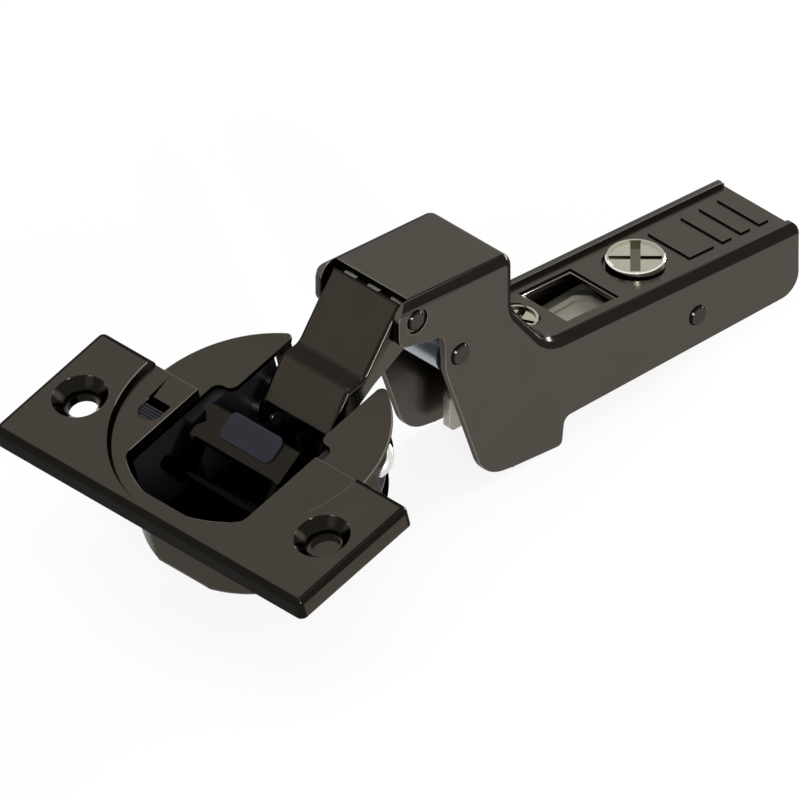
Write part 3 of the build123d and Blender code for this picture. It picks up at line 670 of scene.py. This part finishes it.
def tree_end(tree, geometry, sizes):
    real = added(tree, "GeometryNodeRealizeInstances", {"Geometry": geometry})["Geometry"]
    finished = added(tree, "GeometryNodeSetMaterial",
                     {"Geometry": real, "Material": sizes["Material"]})["Geometry"]
    added(tree, "NodeGroupOutput", {"Geometry": finished})


def round_section(tree, radius):
    return added(tree, "GeometryNodeCurvePrimitiveCircle",
                 {"Resolution": section_points, "Radius": radius})["Curve"]


def swept(tree, path, section):
    return added(tree, "GeometryNodeCurveToMesh",
                 {"Curve": path, "Profile Curve": section, "Fill Caps": True})["Mesh"]


def rounded(tree, curve, points, radius, limit=False):
    """The curve with this many points round each of its corners."""
    bends = tree.nodes.new("GeometryNodeFilletCurve")
    bends.mode = "POLY"
    return feed(tree, bends, {"Curve": curve, "Count": points, "Radius": radius,
                              "Limit Radius": limit})["Curve"]


def along_pin(tree, mesh, sizes):
    """Lay a piece made round the Z axis along the pin, and repeat it in a centred row."""
    laid = added(tree, "GeometryNodeTransform",
                 {"Geometry": mesh, "Rotation": (radians(90), 0, 0)})["Geometry"]
    gaps = arithmetic(tree, "SUBTRACT", sizes["Count"], 1)
    row_length = arithmetic(tree, "MULTIPLY", gaps, sizes["Pitch"])
    first = arithmetic(tree, "MULTIPLY", row_length, -0.5)
    start = added(tree, "ShaderNodeCombineXYZ",
                  {"X": sizes["Pin x"], "Y": first, "Z": sizes["Pin z"]})["Vector"]
    step = added(tree, "ShaderNodeCombineXYZ", {"Y": sizes["Pitch"]})["Vector"]
    row = added(tree, "GeometryNodeMeshLine",
                {"Count": sizes["Count"], "Start Location": start, "Offset": step})["Mesh"]
    return added(tree, "GeometryNodeInstanceOnPoints",
                 {"Points": row, "Instance": laid})["Instances"]


# %% A wound spring
spiral_points = 28


def spring_tree():
    tree, sizes = tree_start("wound_spring", {
        "Turns": 4.0, "Coil radius": 0.001, "Length": 0.002, "Wire radius": 0.0002,
        "Count": 1, "Pitch": 0.0, "Pin x": 0.0, "Pin z": 0.0})
    spiral = added(tree, "GeometryNodeCurveSpiral", {
        "Resolution": spiral_points, "Rotations": sizes["Turns"], "Height": sizes["Length"],
        "Start Radius": sizes["Coil radius"], "End Radius": sizes["Coil radius"]})["Curve"]
    half_down = arithmetic(tree, "MULTIPLY", sizes["Length"], -0.5)
    shift = added(tree, "ShaderNodeCombineXYZ", {"Z": half_down})["Vector"]
    centred = added(tree, "GeometryNodeTransform",
                    {"Geometry": spiral, "Translation": shift})["Geometry"]
    wire = swept(tree, centred, round_section(tree, sizes["Wire radius"]))
    tree_end(tree, along_pin(tree, wire, sizes), sizes)
    return tree


# %% A ring on a pin
ring_points, corner_points = 64, 3


def ring_tree():
    tree, sizes = tree_start("ring_on_pin", {
        "Ring radius": 0.002, "Wall": 0.0004, "Width": 0.002, "Corner": 0.0001,
        "Count": 3, "Pitch": 0.004, "Pin x": 0.0, "Pin z": 0.0})
    half_wall = arithmetic(tree, "MULTIPLY", sizes["Wall"], 0.5)
    radius = arithmetic(tree, "SUBTRACT", sizes["Ring radius"], half_wall)
    circle = added(tree, "GeometryNodeCurvePrimitiveCircle",
                   {"Resolution": ring_points, "Radius": radius})["Curve"]
    section = added(tree, "GeometryNodeCurvePrimitiveQuadrilateral",
                    {"Width": sizes["Wall"], "Height": sizes["Width"]})["Curve"]
    ring = swept(tree, circle, rounded(tree, section, corner_points, sizes["Corner"]))
    tree_end(tree, along_pin(tree, ring, sizes), sizes)
    return tree


# %% A wire bent along a path


def bent_wire_tree():
    tree, sizes = tree_start("bent_wire", {
        "Wire radius": 0.001, "Bend radius": 0.002, "Bend points": 12})
    path = added(tree, "GeometryNodeMeshToCurve", {"Mesh": sizes["Geometry"]})["Curve"]
    bends = rounded(tree, path, sizes["Bend points"], sizes["Bend radius"], limit=True)
    tree_end(tree, swept(tree, bends, round_section(tree, sizes["Wire radius"])), sizes)
    return tree


# %% Run a tree and keep the mesh
wire_crease = radians(50)


def grown(node, tree, values, points=(), edges=()):
    """Run a tree once, keep its result as a plain mesh, and let that stand for the node."""
    host_mesh = bpy.data.meshes.new(node + "_path")
    host_mesh.from_pydata(points, edges, [])
    piece = bpy.data.objects.new(node + "_dressed", host_mesh)
    bpy.context.scene.collection.objects.link(piece)
    modifier = piece.modifiers.new(tree.name, "NODES")
    modifier.node_group = tree
    for socket in tree.interface.items_tree:
        if socket.in_out == "INPUT" and socket.name in values:
            modifier[socket.identifier] = values[socket.name]
    evaluated = piece.evaluated_get(bpy.context.evaluated_depsgraph_get())
    result = bpy.data.meshes.new_from_object(evaluated)
    piece.modifiers.remove(modifier)
    piece.data = result
    shape = bmesh.new()
    shape.from_mesh(result)
    bmesh.ops.remove_doubles(shape, verts=shape.verts, dist=same_place)
    bmesh.ops.recalc_face_normals(shape, faces=shape.faces)
    smooth_faces(shape, wire_crease)
    shape.to_mesh(result)
    shape.free()
    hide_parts(node)
    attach(piece, frame["nodes"][node]["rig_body"])
    print(node, "faces:", len(result.polygons))


# %% Springs and rings on their pins
front_pin = {"Pin x": -48.3 * mm, "Pin z": 31.0 * mm}
latch_pin = {"Pin x": 10.5 * mm, "Pin z": 2.6 * mm}
spacer_pitch = 4.3 * mm
wound, ring = spring_tree(), ring_tree()
grown("closing_spring", wound, {
    "Turns": 4.0, "Coil radius": 1.66 * mm, "Length": 1.68 * mm, "Wire radius": 0.2 * mm,
    "Count": 2, "Pitch": spacer_pitch, "Material": spring_wire, **front_pin})
grown("latch_spring", wound, {
    "Turns": 2.2, "Coil radius": 1.45 * mm, "Length": 1.3 * mm, "Wire radius": 0.29 * mm,
    "Count": 1, "Pitch": 0.0, "Material": spring_wire, **latch_pin})
grown("pivot_spacers", ring, {
    "Ring radius": 1.85 * mm, "Wall": 0.4 * mm, "Width": 2.0 * mm, "Corner": 0.08 * mm,
    "Count": 3, "Pitch": spacer_pitch, "Material": grey_plastic, **front_pin})

# %% The two hinge wires
# Each wire is a U: its long leg is the axle of the inner link, and its short leg that of the
# outer link. Axles and stops are in millimetres, in the cup's own frame.
inner_axle, outer_axle = Vector((11.2, -7.5)), Vector((7.9, -9.5))
bend_start, long_end, short_end = 11.6, 0.3, 5.2
bend_radius = (outer_axle - inner_axle).length / 2
tip = bend_start + bend_radius
stops = ((inner_axle, long_end), (inner_axle, tip), (outer_axle, tip), (outer_axle, short_end))
bend_sizes = {
    "Wire radius": 1.0 * mm, "Bend radius": bend_radius * 0.999 * mm, "Bend points": 12,
    "Material": wire_nickel}
bent = bent_wire_tree()
for node, side in (("hinge_wire_left", 1), ("hinge_wire_right", -1)):
    path = [cup_place @ (Vector((axle.x, side * b, axle.y)) * mm) for axle, b in stops]
    grown(node, bent, bend_sizes, path, [(0, 1), (1, 2), (2, 3)])

# %% [markdown]
# ## Floor, light and camera
# The photograph is a parallel view on a white ground, so the camera is orthographic. The ground
# shows white to the camera and to mirrors, and keeps a soft shadow.

# %% Floor
floor_level, floor_reach = cad_box[0][2], 8.0
floor_grey, floor_glow = 0.86, 0.86
white = (1, 1, 1, 1)


def blend_shaders(tree, factor, first, second):
    return added(tree, "ShaderNodeMixShader", {"Fac": factor, 1: first, 2: second})["Shader"]


def background_rays(tree):
    """1 for the rays that see the background: from the camera, a mirror and through glass."""
    rays = tree.nodes.new("ShaderNodeLightPath").outputs
    direct = arithmetic(tree, "MAXIMUM", rays["Is Camera Ray"], rays["Is Glossy Ray"])
    return arithmetic(tree, "MAXIMUM", direct, rays["Is Transmission Ray"])


floor_mesh = bpy.data.meshes.new("floor")
corners = [(x * floor_reach, y * floor_reach, floor_level)
           for x, y in ((-1, -1), (1, -1), (1, 1), (-1, 1))]
floor_mesh.from_pydata(corners, [], [(0, 1, 2, 3)])
floor = bpy.data.objects.new("floor", floor_mesh)
bpy.context.scene.collection.objects.link(floor)
ground = bpy.data.materials.new("pale_ground")
ground.use_nodes = True
tree = ground.node_tree
pale = feed(tree, tree.nodes["Principled BSDF"], {
    "Base Color": (floor_grey, floor_grey, floor_grey, 1), "Roughness": 0.9})["BSDF"]
glow = added(tree, "ShaderNodeEmission", {"Color": white})["Emission"]
share = arithmetic(tree, "MULTIPLY", background_rays(tree), floor_glow)
feed(tree, tree.nodes["Material Output"], {"Surface": blend_shaders(tree, share, pale, glow)})
floor_mesh.materials.append(ground)
print("floor at", round(floor_level, 4))

# %% World
soft_light, white_ground = 0.55, 1.0
world = bpy.data.worlds.new("studio")
bpy.context.scene.world = world
world.use_nodes = True
tree = world.node_tree
soft = feed(tree, tree.nodes["Background"], {
    "Color": white, "Strength": soft_light})["Background"]
backdrop = added(tree, "ShaderNodeBackground", {
    "Color": white, "Strength": white_ground})["Background"]
sky = blend_shaders(tree, background_rays(tree), soft, backdrop)
feed(tree, tree.nodes["World Output"], {"Surface": sky})
print("world:", world.name)

# %% Lamps


def softbox(name, place, aim, size, power):
    lamp = bpy.data.lights.new(name, "AREA")
    lamp.shape = "RECTANGLE"
    lamp.size, lamp.size_y = size
    lamp.energy = power
    holder = bpy.data.objects.new(name, lamp)
    holder.location = place
    holder.rotation_euler = (Vector(aim) - Vector(place)).to_track_quat("-Z", "Y").to_euler()
    bpy.context.scene.collection.objects.link(holder)


middle = (-0.03, 0.0, 0.012)
softbox("overhead", (-0.2, -0.1, 0.75), middle, (0.45, 0.45), 1.2)
softbox("rear_glint", (0.6, 0.02, 0.12), middle, (0.36, 0.10), 8.0)
softbox("front_glint", (-0.36, -0.57, 0.23), middle, (0.06, 0.22), 3.5)
print("lamps set")

# %% Camera
azimuth, elevation = radians(-45.0), radians(35.264)
target = Vector((-0.04372, 0.0, 0.01215))
distance, view_width = 1.5, 0.10508
back = Vector((cos(elevation) * sin(azimuth), -cos(elevation) * cos(azimuth), sin(elevation)))
camera_data = bpy.data.cameras.new("view")
camera_data.type = "ORTHO"
camera_data.ortho_scale = view_width
camera_data.clip_start = 0.05
camera_data.clip_end = 20.0
camera = bpy.data.objects.new("view", camera_data)
camera.location = target + back * distance
camera.rotation_euler = (-back).to_track_quat("-Z", "Y").to_euler()
bpy.context.scene.collection.objects.link(camera)
bpy.context.scene.camera = camera
bpy.context.scene.view_settings.view_transform = "Standard"
print("camera at", [round(v, 3) for v in camera.location])
